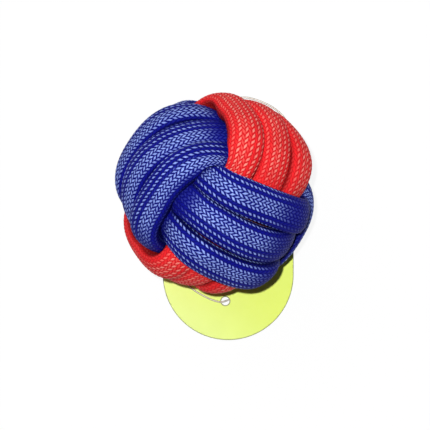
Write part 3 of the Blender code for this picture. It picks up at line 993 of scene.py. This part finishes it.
def stamped_tag(outline):
    """The card: its profile swept once round the hole."""
    length = np.linalg.norm(outline, axis=1, keepdims=True)
    hole = TAG_HOLE_DIAMETER / 2
    loops = []
    for base, value, height in TAG_PROFILE:
        far = {"hole": hole + value, "edge": length - value,
               "span": hole + (length - hole) * value}[base]
        flat = outline / length * far
        loops.append(np.column_stack([flat, np.full(len(flat), height)]))
    size = len(outline)
    total = size * len(loops)
    faces = []
    for row in range(0, total, size):
        after = (row + size) % total
        for k in range(size):
            n = (k + 1) % size
            faces.append((row + k, row + n, after + n, after + k))
    hole_middle = np.array([THROUGH_HOLE[0], THROUGH_HOLE[1], TAG_HEIGHT])
    tag = mesh_object("lime_tag", np.concatenate(loops) + hole_middle, faces)
    store(tag.data, "rim", np.repeat([value < RIM_WIDTH for _, value, _ in TAG_PROFILE], size))
    tag.data.shade_smooth()
    tag.data.validate()
    return tag


lime_tag = stamped_tag(outline)
print("tag:", len(lime_tag.data.polygons), "faces")

# %% [markdown]
# The card's finish
#
# The card is a coated lime board. It is a little paler towards its lower left, a thin dark line is
# painted along its edge and round its hole, and a fine paper tooth shows in the gloss. We could find
# that line's place from the surface's angle, but that would move with the view. It comes from a
# number stored on the mesh as it was made, so the line follows the edge exactly.

# %% Mix the card finish
PALE_LIME = (0.74, 0.90, 0.24, 1)
FULL_LIME = (0.74, 0.885, 0.09, 1)
# Colour of the thin dark line painted along the edge and round the hole.
DARK_EDGE_LINE = (0.22, 0.23, 0.12, 1)
RIM_STRENGTH = 0.85
FADE_DIRECTION = (0.7, 0.7, 0.0)
LIME_FADE = (-0.052, -0.012)

card_finish, tree, shader = new_material("lime_card")
place = add_node(tree, "ShaderNodeTexCoord").outputs["Object"]
across = add_node(tree, "ShaderNodeVectorMath", {0: place, 1: FADE_DIRECTION},
                  operation="DOT_PRODUCT").outputs["Value"]
card = mix_colour(tree, remap(tree, across, *LIME_FADE), PALE_LIME, FULL_LIME)
card = handled(tree, card, scale=140.0, amount=0.06)
# A thin dark line is painted along the edge and round the hole.
rim = add_node(tree, "ShaderNodeAttribute", attribute_name="rim").outputs["Fac"]
card = mix_colour(tree, sums(tree, "MULTIPLY", rim, RIM_STRENGTH), card, DARK_EDGE_LINE)
tooth = add_node(tree, "ShaderNodeTexNoise",
                 {"Vector": place, "Scale": 2200.0, "Detail": 2.0}).outputs["Fac"]
bump = add_node(tree, "ShaderNodeBump", {"Strength": 0.25, "Distance": 0.00003, "Height": tooth})
feed_node(tree, shader, Base_Color=card, Normal=bump.outputs[0],
          Roughness=remap(tree, tooth, 0.3, 0.7, 0.5, 0.62))
lime_tag.data.materials.append(card_finish)
print("card finish:", card_finish.name)

# %% [markdown]
# Clear nylon
#
# The loop is a clear line, so it shows as a pale, warm middle between two dark edges, where it bends
# away the light from behind. Full glass would need many bounces of light and still come out grainy
# on something so thin. So we paint that light and shade into its colour: the middle is its warm
# tint with painted light coming through, the edges are painted shade, mixed by how edge-on the
# surface is. The middle passes part of what lies behind, and the edges stay solid. A faint
# roughness keeps it from looking like glass.

# %% Mix the nylon finish
# The middle is the line's tint with painted light coming through; the edge colour is painted shade.
NYLON_TINT_AND_LIGHT = (0.92, 0.80, 0.67)
NYLON_EDGE_SHADE = (0.22, 0.24, 0.18, 1)
MIDDLE_COVER = 0.65
EDGE_ZONE = (0.03, 0.42)

nylon_finish, tree, shader = new_material("clear_nylon")
clear = handled(tree, NYLON_TINT_AND_LIGHT, scale=400.0, amount=0.08)
scuffs = add_node(tree, "ShaderNodeTexNoise", {"Scale": 900.0, "Detail": 2.0}).outputs["Fac"]
# Painted shade on the edges: the more edge-on the surface, the darker its colour.
edge_on = add_node(tree, "ShaderNodeLayerWeight", {"Blend": 0.5}).outputs["Facing"]
rim_share = remap(tree, edge_on, *EDGE_ZONE)
feed_node(tree, shader, Base_Color=mix_colour(tree, rim_share, clear, NYLON_EDGE_SHADE),
          Transmission_Weight=0.1, IOR=1.53, Specular_IOR_Level=0.25,
          Alpha=remap(tree, rim_share, 0.0, 1.0, MIDDLE_COVER, 1.0),
          Roughness=remap(tree, scuffs, 0.3, 0.7, 0.2, 0.32))
loop_curve.materials.append(nylon_finish)
print("nylon finish:", nylon_finish.name)

# %% [markdown]
# The white floor
#
# The photograph's ground is pure white. We could turn up the lamps until the floor clips, but the
# object would bleach with it. So the floor gets two faces. To the camera, and in reflections, it
# glows white and keeps a share of its own shading for the object's shadow. To the object it is a
# middle grey, because so large a white sheet would throw up enough light to wash out the undersides
# and the shadow on the tag.

# %% Lay the white floor
FLOOR_SIZE = 6.0
PAPER_SEEN = (0.95, 0.95, 0.95, 1)
PAPER_BOUNCE = (0.5, 0.5, 0.5, 1)
SHADOW_SHARE = 0.1

edge = FLOOR_SIZE / 2
floor = mesh_object("white_floor", [(-edge, -edge, 0), (edge, -edge, 0), (edge, edge, 0),
                                    (-edge, edge, 0)], [(0, 1, 2, 3)])


def seen_directly(tree):
    """1 for rays from the camera, and for those that glossy and clear things send on."""
    rays = add_node(tree, "ShaderNodeLightPath").outputs
    seen = sums(tree, "MAXIMUM", rays["Is Camera Ray"], rays["Is Glossy Ray"])
    return sums(tree, "MAXIMUM", seen, rays["Is Transmission Ray"])


floor_finish, tree, shader = new_material("white_paper")
seen = seen_directly(tree)
feed_node(tree, shader, Base_Color=mix_colour(tree, seen, PAPER_BOUNCE, PAPER_SEEN),
          Roughness=0.9, Specular_IOR_Level=0.0)
glow = add_node(tree, "ShaderNodeEmission", {"Color": (1, 1, 1, 1), "Strength": 1.0})
share = sums(tree, "MULTIPLY", seen, 1 - SHADOW_SHARE)
both = add_node(tree, "ShaderNodeMixShader", {0: share, 1: shader.outputs[0],
                                              2: glow.outputs[0]})
tree.links.new(both.outputs[0], tree.nodes["Material Output"].inputs["Surface"])
floor.data.materials.append(floor_finish)
print("floor:", FLOOR_SIZE, "m wide")

# %% [markdown]
# The light
#
# The photograph was lit from beside the lens, a little to the upper left. A narrow sun lamp gives
# that light and its short crisp shadow. It alone would leave the strands flat, so a wide, weak lamp
# from the side rounds them, and the world adds a little light from all round. Colours then come out
# about as they are written.

# %% Set the lamps
WORLD_LIGHT = 0.05
LAMPS = {
    "key_lamp": {"strength": 2.9, "spread": 1.0, "tilt": 3.2, "towards": -45.0},
    "side_lamp": {"strength": 0.55, "spread": 60.0, "tilt": 42.0, "towards": -60.0},
}

scene = bpy.context.scene
scene.world = bpy.data.worlds.new("soft_room")
scene.world.use_nodes = True
room = scene.world.node_tree.nodes["Background"].inputs
room["Color"].default_value = (1, 1, 1, 1)
room["Strength"].default_value = WORLD_LIGHT


def add_sun(name, strength, spread, tilt, towards):
    """A lamp that shines down, tilted so that shadows fall towards that direction in degrees."""
    lamp = bpy.data.lights.new(name, "SUN")
    lamp.energy = strength
    lamp.angle = math.radians(spread)
    lean, turn = math.radians(tilt), math.radians(towards)
    shine = Vector((math.sin(lean) * math.cos(turn), math.sin(lean) * math.sin(turn),
                    -math.cos(lean)))
    holder = new_object(name, lamp)
    holder.rotation_mode = "QUATERNION"
    holder.rotation_quaternion = shine.to_track_quat("-Z", "Y")
    holder.location = (0, 0, 1)


for name, settings in LAMPS.items():
    add_sun(name, **settings)
scene.view_settings.view_transform = "Standard"

# %% [markdown]
# Joining the pieces to the model
#
# Each dressed piece stands for one plain solid and moves with its body. The tag is a body of its
# own: it can turn on the loop about its hole. The loop is a free cord and moves with the ball.

# %% Say what each piece stands for and what it moves with
for name, rope in ropes.items():
    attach(rope, "ball")
    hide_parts(name)
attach(turned, "ball")
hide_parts("core_ball")
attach(nylon_loop, "ball")
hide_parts("tag_loop")
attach(lime_tag, "tag")
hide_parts("hang_tag")
